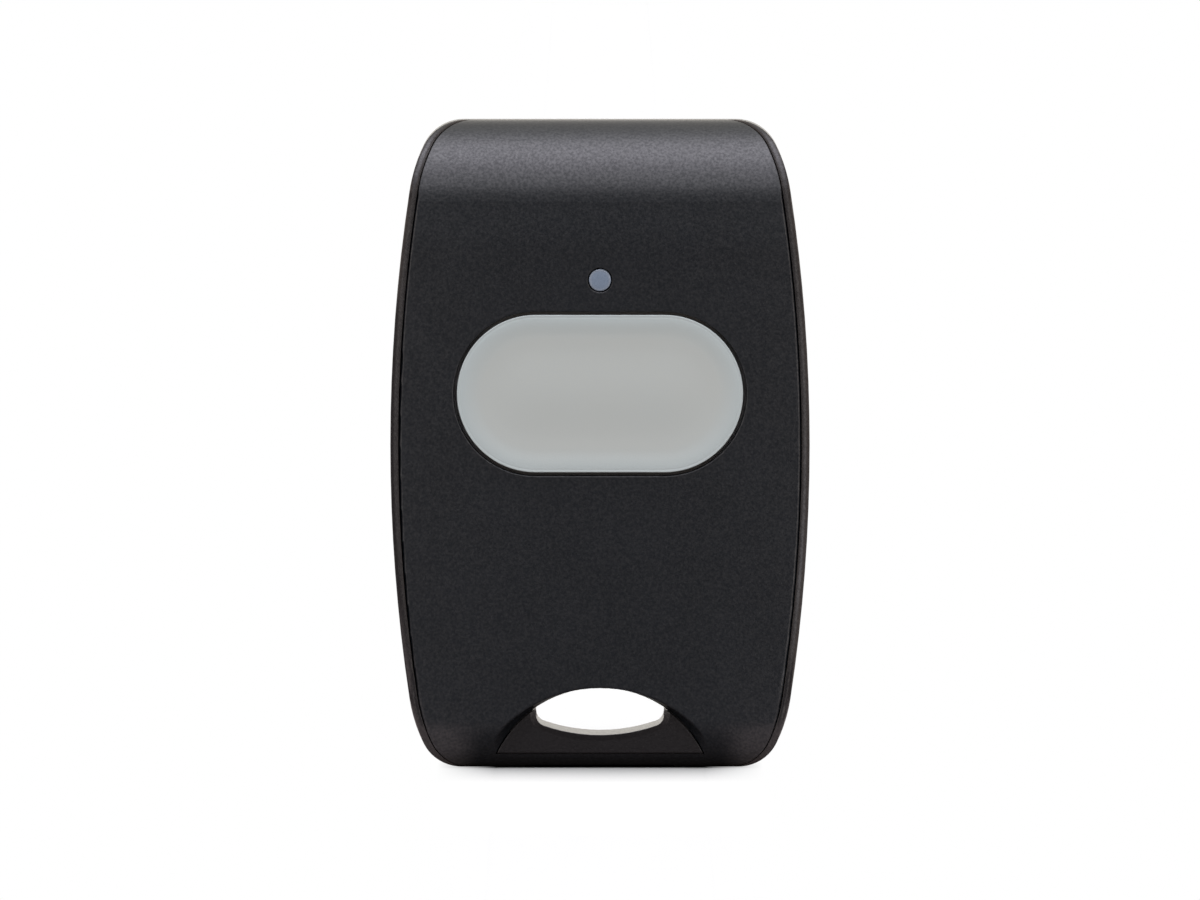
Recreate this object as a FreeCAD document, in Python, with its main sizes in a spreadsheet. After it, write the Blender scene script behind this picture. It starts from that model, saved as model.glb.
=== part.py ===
import FreeCAD, Part
import math
import os
import Sketcher

# Medical alert pendant: a small one-button radio transmitter worn on a cord.
# Millimetres. X is to the right, the button side faces -Y, Z is up. The origin lies under
# the middle of the case, on the plane it stands on, halfway through its depth.

SIZES = (
    ("case_width", 36.0, "width over the side rims at mid height"),
    ("case_height", 55.55, "height of the case"),
    ("overall_depth", 12.0, "from the crest of the button to the back face"),
    ("button_proud", 0.3, "how far the button stands out of the cover"),
    ("side_radius", 145.0, "outline: long arc of each side"),
    ("shoulder_radius", 13.0, "outline: shoulder between side and corner"),
    ("corner_radius", 3.8, "outline: arc next to the flat top and bottom"),
    ("shoulder_angle", 26.7, "outline: direction, in degrees, where shoulder meets corner"),
    ("top_bend", 6.9, "radius of the cover where it rolls over the top"),
    ("bottom_bend", 4.0, "radius of the cover where it rolls under the bottom"),
    ("back_edge", 1.3, "rounding round the back face"),
    ("rim_width", 0.68, "side rim of the rear shell seen beside the cover"),
    ("rim_round", 0.45, "rounding of that rim's outer edge"),
    ("seam_gap", 0.09, "gap between rim and cover"),
    ("cover_edge", 0.16, "rounding of the cover's side edges"),
    ("cover_wall", 1.3, "thickness of the front cover"),
    ("rear_wall", 1.3, "thickness of the rear shell's back"),
    ("side_wall", 1.9, "rear shell's side wall, rim and ledge together"),
    ("end_wall", 2.1, "rear shell's top and bottom walls"),
    ("fit_gap", 0.05, "clearance between parts that lie on each other"),
    ("button_width", 24.6, "button: overall width"),
    ("button_height", 13.55, "button: overall height"),
    ("button_level", 32.2, "height of the button's centre"),
    ("button_gap", 0.26, "gap between button and cover"),
    ("button_wall", 1.1, "thickness of the button's cap"),
    ("button_edge", 0.15, "rounding of the button's outer edge"),
    ("button_rim", 1.15, "width of the button's raised rim"),
    ("button_slope", 1.5, "width of the slope inside that rim"),
    ("button_dish", 0.15, "depth of the button's face below its rim"),
    ("flange_width", 0.5, "lip that keeps the button behind the cover"),
    ("flange_thick", 0.8, "thickness of that lip"),
    ("button_travel", 0.3, "how far the button moves in"),
    ("post_radius", 1.6, "button's post that presses the switch"),
    ("opening_edge", 0.14, "rounding of the button's opening"),
    ("collar_wall", 0.6, "collar behind the cover that guides the button"),
    ("collar_gap", 0.15, "clearance between collar and button lip"),
    ("lamp_radius", 0.96, "light pipe: radius of the visible end"),
    ("lamp_gap", 0.1, "clearance round the light pipe"),
    ("lamp_level", 41.94, "height of the status light"),
    ("lamp_flange", 0.34, "light pipe: width of its shoulder"),
    ("arch_share", 0.2758, "arch recess: its radius as a share of the case's width"),
    ("arch_crown", 6.9, "arch recess: height of its highest point"),
    ("recess_depth", 1.0, "arch recess: floor below the cover's face"),
    ("arch_foot", 1.2, "arch recess: height of the cover's strip under it"),
    ("arch_flare", 2.0, "arch recess: its radius grows by this much up to the cover's face"),
    ("arch_wall", 1.4, "wall of the rear shell round the arch"),
    ("slot_share", 0.3056, "cord slot: its width as a share of the case's width"),
    ("slot_low", 2.84, "cord slot: height of its lowest point"),
    ("slot_radius", 14.8, "cord slot: radius of its lower edge"),
    ("slot_corner", 1.0, "cord slot: rounding of its ends"),
    ("slot_relief", 0.25, "cord slot: how far its top lies behind the arch edge"),
    ("slot_shoulder", 4.95, "cord slot: height from which it is a little wider"),
    ("shoulder_step", 0.25, "cord slot: how much wider, on each side"),
    ("lip_width", 0.5, "cord slot: raised lip round its front, width"),
    ("lip_tall", 0.09, "cord slot: raised lip round its front, height"),
    ("relief_width", 12.9, "shallow relief under the cord bar: width"),
    ("relief_depth", 0.17, "shallow relief under the cord bar: depth"),
    ("board_share", 0.2833, "cover's inside to the circuit board, as a share of the depth"),
    ("board_thick", 0.8, "circuit board"),
    ("board_gap", 0.35, "clearance round the circuit board"),
    ("board_low", 9.6, "height of the circuit board's lower edge"),
    ("membrane_thick", 0.4, "web of the silicone membrane"),
    ("membrane_wall", 0.9, "skirt of the silicone membrane"),
    ("nib_tall", 0.2, "nib of the silicone membrane, over the switch"),
    ("switch_width", 6.0, "switch: body width"),
    ("switch_tall", 3.6, "switch: body height"),
    ("switch_thick", 1.05, "switch: body thickness"),
    ("plunger_radius", 0.9, "switch: plunger"),
    ("plunger_out", 0.4, "switch: plunger above the body"),
    ("plunger_in", 0.5, "switch: plunger inside the body"),
    ("cell_radius", 10.0, "coin cell: radius"),
    ("cell_thick", 3.2, "coin cell: thickness"),
    ("cell_level", 30.0, "height of the coin cell's centre"),
    ("cell_lift", 0.45, "room for the contact between board and cell"),
    ("cell_gap", 0.15, "clearance round the coin cell"),
    ("holder_wall", 0.85, "ring that holds the coin cell"),
    ("holder_tall", 2.8, "height of that ring above the board"),
    ("clip_thick", 0.2, "sheet metal of the contacts"),
    ("clip_width", 5.0, "battery clip: width of its strip"),
    ("screw_side", 6.8, "screws: distance in from the case's widest point"),
    ("screw_low", 6.6, "lower screws: height"),
    ("screw_top", 7.4, "upper screws: distance below the top"),
    ("screw_radius", 0.8, "screws: shank"),
    ("screw_head", 1.5, "screws: head radius"),
    ("head_thick", 1.1, "screws: head thickness"),
    ("head_sunk", 0.5, "screws: how far the head lies below the back"),
    ("screw_bite", 2.4, "screws: length in the cover's boss"),
    ("boss_radius", 2.1, "screw bosses"),
    ("boss_meet", 0.3, "screw bosses meet this far in front of the board"),
    ("post_side", 5.8, "board posts: distance in from the case's widest point"),
    ("post_level", 13.6, "board posts: height"),
    ("board_post", 1.3, "board posts: radius"),
    ("board_pin", 0.7, "pins on the board posts: radius"),
    ("led_thick", 0.6, "status light on the board: height"),
    ("chip_thick", 0.85, "chips: height above the board"),
    ("small_thick", 0.5, "small parts: height above the board"),
    ("antenna_side", 8.5, "antenna: distance in from the case's widest point"),
    ("antenna_lift", 1.6, "antenna: height above the board"),
    ("antenna_sheet", 0.3, "antenna: sheet thickness"),
    ("antenna_top", 5.6, "antenna: from the top of the case to its lower edge"),
    ("antenna_tall", 1.5, "antenna: width of its strip"),
    ("cell_cap", 0.3, "coin cell: height of the negative cap"),
    ("cell_step", 1.2, "coin cell: step from the can to the negative cap"),
    ("holder_notch", 9.0, "cell holder: width of the opening at its top"),
    ("contact_radius", 4.0, "negative contact: radius"),
    ("drive_radius", 0.7, "screws: recess for the driver, radius"),
    ("drive_depth", 0.6, "screws: recess for the driver, depth"),
    ("pilot_gap", 0.03, "screws: clearance of the shank in the cover's boss"),
    ("shank_gap", 0.12, "screws: clearance of the shank in the rear shell"),
    ("head_gap", 0.2, "screws: clearance round the head"),
    ("screw_tip", 0.3, "screws: the hole runs this much deeper than the tip"),
    ("foot_step", 0.5, "upper screw bosses: step that carries the board"),
    ("hole_gap", 0.15, "clearance of the board's holes round the bosses"),
    ("pin_out", 0.2, "board pins: how far they stand out of the board"),
    ("rib_width", 16.0, "ribs behind the coin cell: length"),
    ("rib_thick", 0.9, "ribs behind the coin cell: thickness"),
    ("rib_apart", 11.1, "ribs behind the coin cell: distance between them"),
    ("notch_sill", 1.0, "cell holder: height of the wall left under its opening"),
    ("small_bevel", 0.2, "bevel of the light pipe's tip and of the coin cell"),
    ("led_width", 1.6, "status light on the board: width"),
    ("led_tall", 0.8, "status light on the board: height along the board"),
    ("radio_side", 4.0, "radio chip: side"),
    ("processor_side", 5.0, "microcontroller: side"),
    ("crystal_width", 3.2, "crystal: width"),
    ("crystal_tall", 2.5, "crystal: height along the board"),
    ("small_width", 1.0, "small parts: width"),
    ("capacitor_tall", 0.5, "chip capacitors: height along the board"),
    ("resistor_tall", 0.35, "chip resistors: height along the board"),
    ("coil_tall", 0.6, "matching coils: height along the board"),
    ("grid", 0.2, "placement grid of the parts on the board"),
    ("past", 1.0, "how far a cutter runs past the face it opens"),
    ("weld", 0.5, "how far a boss or rib runs into the wall it stands on"),
)

# Parts soldered to the front of the board: width, height and thickness, the level that the
# places are counted from, and the centres in steps of the placement grid (right, up)
ON_BOARD = (
    ("status_led", "led_width", "led_tall", "led_thick", "lamp_level", ((0, 0),)),
    ("radio_chip", "radio_side", "radio_side", "chip_thick", "board_low", ((-28, 40),)),
    ("microcontroller", "processor_side", "processor_side", "chip_thick", "board_low",
     ((16, 36),)),
    ("crystal", "crystal_width", "crystal_tall", "chip_thick", "board_low", ((-52, 42),)),
    ("chip_capacitors", "small_width", "capacitor_tall", "small_thick", "board_low",
     ((-28, 22), (-17, 18), (16, 16), (38, 28), (38, 44), (-48, 26))),
    ("chip_resistors", "small_width", "resistor_tall", "small_thick", "board_low",
     ((48, 37), (48, 47), (38, 36), (-38, 22), (-2, 19))),
    ("matching_coils", "small_width", "coil_tall", "small_thick", "case_height",
     ((-40, -47), (-31, -47))),
)

OUT = "parts"
SAME = 1e-4
NEAR = 0.01

doc = FreeCAD.newDocument("alert_pendant")
sheet = doc.addObject("Spreadsheet::Sheet", "Sizes")
for row, (alias, value, meaning) in enumerate(SIZES, start=1):
    sheet.set("A%d" % row, meaning)
    sheet.set("B%d" % row, str(value))
    sheet.setAlias("B%d" % row, alias)
doc.recompute()


class Size:
    """A size known both as a number and as the expression over the sheet that gives it."""

    def __init__(self, value, text):
        self.value = value
        self.text = text

    def __add__(self, other):
        other = size(other)
        return Size(self.value + other.value, "(%s + %s)" % (self.text, other.text))

    def __sub__(self, other):
        other = size(other)
        return Size(self.value - other.value, "(%s - %s)" % (self.text, other.text))

    def __mul__(self, factor):
        factor = size(factor)
        return Size(self.value * factor.value, "(%s * %s)" % (self.text, factor.text))

    def __truediv__(self, divisor):
        return Size(self.value / divisor, "(%s / %s)" % (self.text, divisor))

    def __neg__(self):
        return Size(-self.value, "(0 - %s)" % self.text)


def size(thing):
    """A sheet alias, a plain number or a Size, as a Size."""
    if isinstance(thing, Size):
        return thing
    if isinstance(thing, str):
        return Size(float(sheet.get(thing)), "Sizes." + thing)
    return Size(float(thing), repr(float(thing)))


def bind(item, path, length):
    length = size(length)
    item.setExpression(path, length.text)


# Depths along Y, from the face of the cover to the back
front_y = size("button_proud") - size("overall_depth") / 2
back_y = size("overall_depth") / 2
cover_in_y = front_y + "cover_wall"
part_y = front_y + "top_bend"
rear_in_y = back_y - "rear_wall"
recess_y = front_y + "recess_depth"
board_y = cover_in_y + size("overall_depth") * size("board_share")
board_back_y = board_y + "board_thick"
boss_y = board_y - "boss_meet"
cell_y = board_back_y + "cell_lift"
clip_y = cell_y + "cell_thick"
plunger_y = board_y - "switch_thick" - "plunger_out"
web_y = plunger_y - "fit_gap" - "nib_tall" - "membrane_thick"
head_y = back_y - "head_sunk" - "head_thick"
outer_y = front_y - "past"
welded_y = rear_in_y + "weld"

# Heights along Z
top_z = size("case_height")
arch_radius = size("case_width") * size("arch_share")
arch_z = size("arch_crown") - arch_radius
screw_high = top_z - "screw_top"

# Distances from the middle along X
screw_x = size("case_width") / 2 - "screw_side"
post_x = size("case_width") / 2 - "post_side"
antenna_x = size("case_width") / 2 - "antenna_side"


def new_body(label):
    body = doc.addObject("PartDesign::Body", label)
    body.Label = label
    return body


def new_sketch(body, role, offset=0.0):
    """Sketch on one of the body's own origin planes, moved along that plane's normal."""
    plane = next(p for p in body.Origin.OriginFeatures if p.Role == role)
    sketch = body.newObject("Sketcher::SketchObject", body.Name + "_sketch")
    sketch.AttachmentSupport = (plane, "")
    sketch.MapMode = "FlatFace"
    offset = size(offset)
    if role == "XZ_Plane":
        offset = -offset
    bind(sketch, ".AttachmentOffset.Base.z", offset)
    return sketch


def dimension(sketch, name, kind, *where_and_value):
    """Adds a driving constraint and ties it to the sheet."""
    where = where_and_value[:-1]
    value = size(where_and_value[-1])
    number = value.value
    if kind == "Angle":
        number = math.radians(number)
    index = sketch.addConstraint(Sketcher.Constraint(kind, *where, number))
    sketch.renameConstraint(index, name)
    bind(sketch, "Constraints." + name, value)


def relate(sketch, kind, *where):
    sketch.addConstraint(Sketcher.Constraint(kind, *where))


def arc(centre, radius, start, end):
    circle = Part.Circle(FreeCAD.Vector(*centre, 0), FreeCAD.Vector(0, 0, 1), radius)
    return Part.ArcOfCircle(circle, math.radians(start), math.radians(end))


def line(start, end):
    return Part.LineSegment(FreeCAD.Vector(*start, 0), FreeCAD.Vector(*end, 0))


def pad(body, sketch, length, along=False):
    """Pads against the sketch's normal, so towards +Y on an XZ sketch, or along it."""
    feature = body.newObject("PartDesign::Pad", body.Name + "_pad")
    feature.Profile = sketch
    feature.Reversed = not along
    bind(feature, "Length", length)
    sketch.Visibility = False
    body.Tip = feature
    return feature


def pad_both(body, sketch, length):
    feature = pad(body, sketch, length, True)
    feature.Midplane = True
    return feature


def pocket(body, sketch, length):
    """Cuts the body from the sketch's plane towards +Y, and compares its volume."""
    doc.recompute()
    before = body.Shape.Volume
    feature = body.newObject("PartDesign::Pocket", body.Name + "_pocket")
    feature.Profile = sketch
    feature.Reversed = False
    bind(feature, "Length", length)
    sketch.Visibility = False
    body.Tip = feature
    doc.recompute()
    if not body.Shape.Volume < before:
        raise RuntimeError(body.Name + ": a pocket removes nothing")
    return feature


def draw_outline(sketch, shift=0.0, inset=0.0):
    """Front outline of the case. shift draws both sides in, inset offsets the whole line.

    Twelve edges, counter-clockwise from the bottom flat: each quarter is half a side arc,
    a shoulder arc and a corner arc, all tangent. The flats take up what is left.
    """
    inset = size(inset)
    half = size("case_width") / 2 - shift - inset
    side = size("side_radius") - inset
    shoulder = size("shoulder_radius") - inset
    corner = size("corner_radius") - inset
    top = top_z - inset
    height = top_z - inset * 2
    middle = top_z / 2
    turn = size("shoulder_angle")

    a2 = math.radians(turn.value)
    rise = height.value / 2 - corner.value * (1 - math.sin(a2)) - shoulder.value * math.sin(a2)
    a1 = math.asin(rise / (side.value - shoulder.value))
    side_x = half.value - side.value
    shoulder_x = side_x + (side.value - shoulder.value) * math.cos(a1)
    shoulder_z = (side.value - shoulder.value) * math.sin(a1)
    corner_x = shoulder_x + (shoulder.value - corner.value) * math.cos(a2)
    corner_z = shoulder_z + (shoulder.value - corner.value) * math.sin(a2)
    mid = middle.value
    low = mid - height.value / 2
    s, t = math.degrees(a1), turn.value
    sketch.addGeometry([
        line((-corner_x, low), (corner_x, low)),
        arc((corner_x, mid - corner_z), corner.value, -90, -t),
        arc((shoulder_x, mid - shoulder_z), shoulder.value, -t, -s),
        arc((side_x, mid), side.value, -s, s),
        arc((shoulder_x, mid + shoulder_z), shoulder.value, s, t),
        arc((corner_x, mid + corner_z), corner.value, t, 90),
        line((corner_x, top.value), (-corner_x, top.value)),
        arc((-corner_x, mid + corner_z), corner.value, 90, 180 - t),
        arc((-shoulder_x, mid + shoulder_z), shoulder.value, 180 - t, 180 - s),
        arc((-side_x, mid), side.value, 180 - s, 180 + s),
        arc((-shoulder_x, mid - shoulder_z), shoulder.value, 180 + s, 180 + t),
        arc((-corner_x, mid - corner_z), corner.value, 180 + t, 270),
    ])
    for k in range(12):
        relate(sketch, "Tangent", k, 2, (k + 1) % 12, 1)
    relate(sketch, "Horizontal", 0)
    relate(sketch, "Horizontal", 6)
    relate(sketch, "Equal", 3, 9)
    for k in (4, 8, 10):
        relate(sketch, "Equal", 2, k)
    for k in (5, 7, 11):
        relate(sketch, "Equal", 1, k)
    relate(sketch, "Symmetric", 3, 3, 9, 3, -2)
    dimension(sketch, "side", "Radius", 3, side)
    dimension(sketch, "shoulder", "Radius", 2, shoulder)
    dimension(sketch, "corner", "Radius", 1, corner)
    for k in (1, 5, 7, 11):
        dimension(sketch, "turn_%d" % k, "Angle", k, size(90) - turn)
    dimension(sketch, "middle", "DistanceY", 9, 3, middle)
    dimension(sketch, "side_centre", "DistanceX", 9, 3, side - half)
    dimension(sketch, "top", "DistanceY", 6, 1, top)
    dimension(sketch, "height", "DistanceY", 0, 1, 6, 2, height)


def draw_profile(sketch, front, back, top_radius, bottom_radius, inset):
    """Side profile in the YZ plane: flat front, rolled top and bottom, square back."""
    top = top_z - inset
    height = top_z - size(inset) * 2
    f, b, h = front.value, back.value, top.value
    low = h - height.value
    r, q = top_radius.value, bottom_radius.value
    sketch.addGeometry([
        line((f, h - r), (f, low + q)),
        arc((f + q, low + q), q, 180, 270),
        line((f + q, low), (b, low)),
        line((b, low), (b, h)),
        line((b, h), (f + r, h)),
        arc((f + r, h - r), r, 90, 180),
    ])
    for a, c in ((0, 1), (1, 2), (4, 5), (5, 0)):
        relate(sketch, "Tangent", a, 2, c, 1)
    for a, c in ((2, 3), (3, 4)):
        relate(sketch, "Coincident", a, 2, c, 1)
    relate(sketch, "Vertical", 0)
    relate(sketch, "Vertical", 3)
    relate(sketch, "Horizontal", 2)
    relate(sketch, "Horizontal", 4)
    dimension(sketch, "top_roll", "Radius", 5, top_radius)
    dimension(sketch, "bottom_roll", "Radius", 1, bottom_radius)
    dimension(sketch, "back", "DistanceX", 3, 1, back)
    dimension(sketch, "depth", "DistanceX", 0, 1, 4, 1, back - front)
    dimension(sketch, "top", "DistanceY", 4, 1, top)
    dimension(sketch, "height", "DistanceY", 3, 1, 3, 2, height)


def draw_stadium(sketch, width, height, level):
    """Stadium: two half circles joined by straight lines, centred on the Z axis."""
    radius = size(height) / 2
    apart = size(width) - height
    level = size(level)
    r, x, z = radius.value, apart.value / 2, level.value
    sketch.addGeometry([
        line((-x, z - r), (x, z - r)),
        arc((x, z), r, -90, 90),
        line((x, z + r), (-x, z + r)),
        arc((-x, z), r, 90, 270),
    ])
    for k in range(4):
        relate(sketch, "Tangent", k, 2, (k + 1) % 4, 1)
    relate(sketch, "Equal", 1, 3)
    relate(sketch, "Symmetric", 1, 3, 3, 3, -2)
    dimension(sketch, "end_radius", "Radius", 1, radius)
    dimension(sketch, "apart", "DistanceX", 3, 3, 1, 3, apart)
    dimension(sketch, "level", "DistanceY", 1, 3, level)


def draw_rectangle(sketch, width, height, low):
    """Rectangle centred on the vertical axis, its lower edge at a height above it."""
    width, height, low = size(width), size(height), size(low)
    x, z, h = width.value / 2, low.value, height.value
    corners = [(-x, z), (x, z), (x, z + h), (-x, z + h)]
    sketch.addGeometry([line(corners[k], corners[(k + 1) % 4]) for k in range(4)])
    for k in range(4):
        relate(sketch, "Coincident", k, 2, (k + 1) % 4, 1)
    relate(sketch, "Horizontal", 2)
    relate(sketch, "Vertical", 1)
    relate(sketch, "Vertical", 3)
    relate(sketch, "Symmetric", 0, 1, 0, 2, -2)
    dimension(sketch, "width", "DistanceX", 0, 1, 0, 2, width)
    dimension(sketch, "height", "DistanceY", 1, 1, 1, 2, height)
    dimension(sketch, "low", "DistanceY", 0, 2, low)


def draw_circle(sketch, radius, level):
    """Circle centred on the vertical axis."""
    radius, level = size(radius), size(level)
    centre = FreeCAD.Vector(0, level.value, 0)
    sketch.addGeometry(Part.Circle(centre, FreeCAD.Vector(0, 0, 1), radius.value))
    relate(sketch, "PointOnObject", 0, 3, -2)
    dimension(sketch, "radius", "Radius", 0, radius)
    if level.value:
        dimension(sketch, "level", "DistanceY", 0, 3, level)
    else:
        relate(sketch, "PointOnObject", 0, 3, -1)


def draw_pair(sketch, radius, apart, levels):
    """Equal circles in mirrored pairs, one pair at each level."""
    radius, apart = size(radius), size(apart)
    for k, level in enumerate(size(one) for one in levels):
        for side in (1, -1):
            centre = FreeCAD.Vector(side * apart.value, level.value, 0)
            sketch.addGeometry(Part.Circle(centre, FreeCAD.Vector(0, 0, 1), radius.value))
        right, left = 2 * k, 2 * k + 1
        relate(sketch, "Symmetric", right, 3, left, 3, -2)
        dimension(sketch, "apart_%d" % k, "DistanceX", right, 3, apart)
        dimension(sketch, "level_%d" % k, "DistanceY", right, 3, level)
        if k:
            relate(sketch, "Equal", 0, right)
        relate(sketch, "Equal", 0, left)
    dimension(sketch, "radius", "Radius", 0, radius)


def solid_outline(label, y_from, y_to, shift=0.0, inset=0.0):
    body = new_body(label)
    sketch = new_sketch(body, "XZ_Plane", y_from)
    draw_outline(sketch, shift, inset)
    pad(body, sketch, y_to - y_from)
    return body


def solid_profile(label, inset=0.0, back=None):
    """The case's side profile, offset inwards, across more than the whole width."""
    body = new_body(label)
    sketch = new_sketch(body, "YZ_Plane")
    inset = size(inset)
    front = front_y + inset
    draw_profile(sketch, front, back or back_y, size("top_bend") - inset,
                 size("bottom_bend") - inset, inset)
    pad_both(body, sketch, size("case_width") + size("past") * 2)
    return body


def solid_stadium(label, y_from, y_to, width, height, level="button_level"):
    body = new_body(label)
    sketch = new_sketch(body, "XZ_Plane", y_from)
    draw_stadium(sketch, width, height, level)
    pad(body, sketch, size(y_to) - y_from)
    return body


def solid_round(label, y_from, y_to, radius, level):
    body = new_body(label)
    sketch = new_sketch(body, "XZ_Plane", y_from)
    draw_circle(sketch, radius, level)
    pad(body, sketch, size(y_to) - y_from)
    return body


def solid_pairs(label, y_from, y_to, radius, apart, levels):
    body = new_body(label)
    sketch = new_sketch(body, "XZ_Plane", y_from)
    draw_pair(sketch, radius, apart, levels)
    pad(body, sketch, size(y_to) - y_from)
    return body


def solid_block(label, y_from, y_to, width, height, low):
    body = new_body(label)
    sketch = new_sketch(body, "XZ_Plane", y_from)
    draw_rectangle(sketch, width, height, low)
    pad(body, sketch, size(y_to) - y_from)
    return body


def common(label, *shapes):
    item = doc.addObject("Part::MultiCommon", label)
    item.Shapes = list(shapes)
    item.Label = label
    return item


def fuse(label, *shapes):
    item = doc.addObject("Part::MultiFuse", label)
    item.Shapes = list(shapes)
    item.Label = label
    return item


def cut(label, base, tool):
    item = doc.addObject("Part::Cut", label)
    item.Base = base
    item.Tool = tool
    item.Label = label
    return item


def round_edges(label, base, rules):
    """Part fillet: each rule is a radius and a test of which edges of the base it takes."""
    doc.recompute()
    item = doc.addObject("Part::Fillet", label)
    item.Base = base
    chosen = []
    for radius, test in rules:
        for number, edge in enumerate(base.Shape.Edges, start=1):
            if test(edge.BoundBox):
                chosen.append((number, size(radius).value, size(radius).value))
    item.Edges = chosen
    item.Label = label
    doc.recompute()
    return item


def round_body(body, reach, test, kind="Fillet"):
    """Fillet or chamfer as the body's last feature, on the edges that pass the test."""
    doc.recompute()
    base = body.Tip
    names = ["Edge%d" % n for n, edge in enumerate(base.Shape.Edges, start=1)
             if test(edge.BoundBox)]
    if not names:
        raise RuntimeError(body.Name + ": no edge to round")
    feature = body.newObject("PartDesign::" + kind, body.Name + "_edge")
    feature.Base = (base, names)
    bind(feature, "Radius" if kind == "Fillet" else "Size", reach)
    body.Tip = feature
    doc.recompute()


def at_y(box, y):
    """Whether a box, of an edge, lies flat at this depth."""
    return abs(box.YMin - y.value) < SAME and abs(box.YMax - y.value) < SAME


def between(box, low, high):
    """Whether a box lies between two heights."""
    return box.ZMin > low.value - NEAR and box.ZMax < high.value + NEAR


# Openings of the cover, which the button, its collar and the membrane follow
opening_width = size("button_width") + size("button_gap") * 2
opening_height = size("button_height") + size("button_gap") * 2
flange_width = opening_width + size("flange_width") * 2
flange_height = opening_height + size("flange_width") * 2
collar_width = flange_width + size("collar_gap") * 2
collar_height = flange_height + size("collar_gap") * 2
ring_width = collar_width + size("collar_wall") * 2
ring_height = collar_height + size("collar_wall") * 2
lamp_hole = size("lamp_radius") + "lamp_gap"
screw_levels = ("screw_low", screw_high)


def front_cover():
    """A strap that rolls over the top and under the bottom, between the rims."""
    face = solid_outline("cover_outline", front_y, part_y, size("rim_width") + "seam_gap")
    round_body(face, "cover_edge", lambda box: at_y(box, front_y))
    bend = solid_profile("cover_profile")
    inner = solid_profile("cover_hollow", "cover_wall")
    strap = cut("cover_strap", common("cover_block", face, bend), inner)

    sunk = cover_in_y - size("cover_wall") / 2
    collar = solid_stadium("button_collar", sunk, web_y, ring_width, ring_height)
    hollow = new_sketch(collar, "XZ_Plane", sunk)
    draw_stadium(hollow, collar_width, collar_height, "button_level")
    pocket(collar, hollow, web_y - sunk)
    bosses = solid_pairs("cover_bosses", sunk, boss_y, "boss_radius", screw_x, screw_levels)
    moulded = fuse("cover_moulding", strap, collar, bosses)

    pilots = solid_pairs("cover_pilots", boss_y - "screw_bite", boss_y,
                         size("screw_radius") + "pilot_gap", screw_x, screw_levels)
    opening = solid_stadium("button_opening", outer_y, cover_in_y, opening_width,
                            opening_height)
    lamp = solid_round("lamp_opening", outer_y, cover_in_y, lamp_hole, "lamp_level")
    arch = solid_round("arch_opening", outer_y, part_y, arch_radius, arch_z)
    flare = arch_cone("arch_flank")
    above = solid_block("arch_above", outer_y, part_y, "case_width", "case_height", "arch_foot")
    arched = common("arch_cutter", fuse("arch_flared", arch, flare), above)
    relief = bar_relief("cover_relief")
    open_cover = cut("cover_open", moulded,
                     fuse("cover_cutters", pilots, opening, lamp, arched, relief))

    half_opening = (opening_width / 2).value + NEAR
    lowest = size("button_level") - opening_height / 2
    highest = size("button_level") + opening_height / 2

    def is_opening(box):
        return at_y(box, front_y) and between(box, lowest, highest) and box.XMax < half_opening \
            and box.XMin > -half_opening

    return round_edges("front_cover", open_cover, (("opening_edge", is_opening),))


def arch_cone(label):
    """Wider towards the face on the flanks of the arch, and no higher at its crown."""
    body = new_body(label)
    wide = new_sketch(body, "XZ_Plane", front_y - "recess_depth")
    wide_radius = arch_radius + size("arch_flare") * 2
    draw_circle(wide, wide_radius, size("arch_crown") - wide_radius)
    narrow = new_sketch(body, "XZ_Plane", recess_y)
    draw_circle(narrow, arch_radius, arch_z)
    cone = body.newObject("PartDesign::AdditiveLoft", label + "_loft")
    cone.Profile = wide
    cone.Sections = [narrow]
    cone.Ruled = True
    body.Tip = cone
    return body


def bar_relief(label):
    """Shallow relief in the underside, across the whole depth."""
    return solid_block(label, outer_y, back_y + "past", "relief_width",
                       size("relief_depth") + "past", -size("past"))


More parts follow.
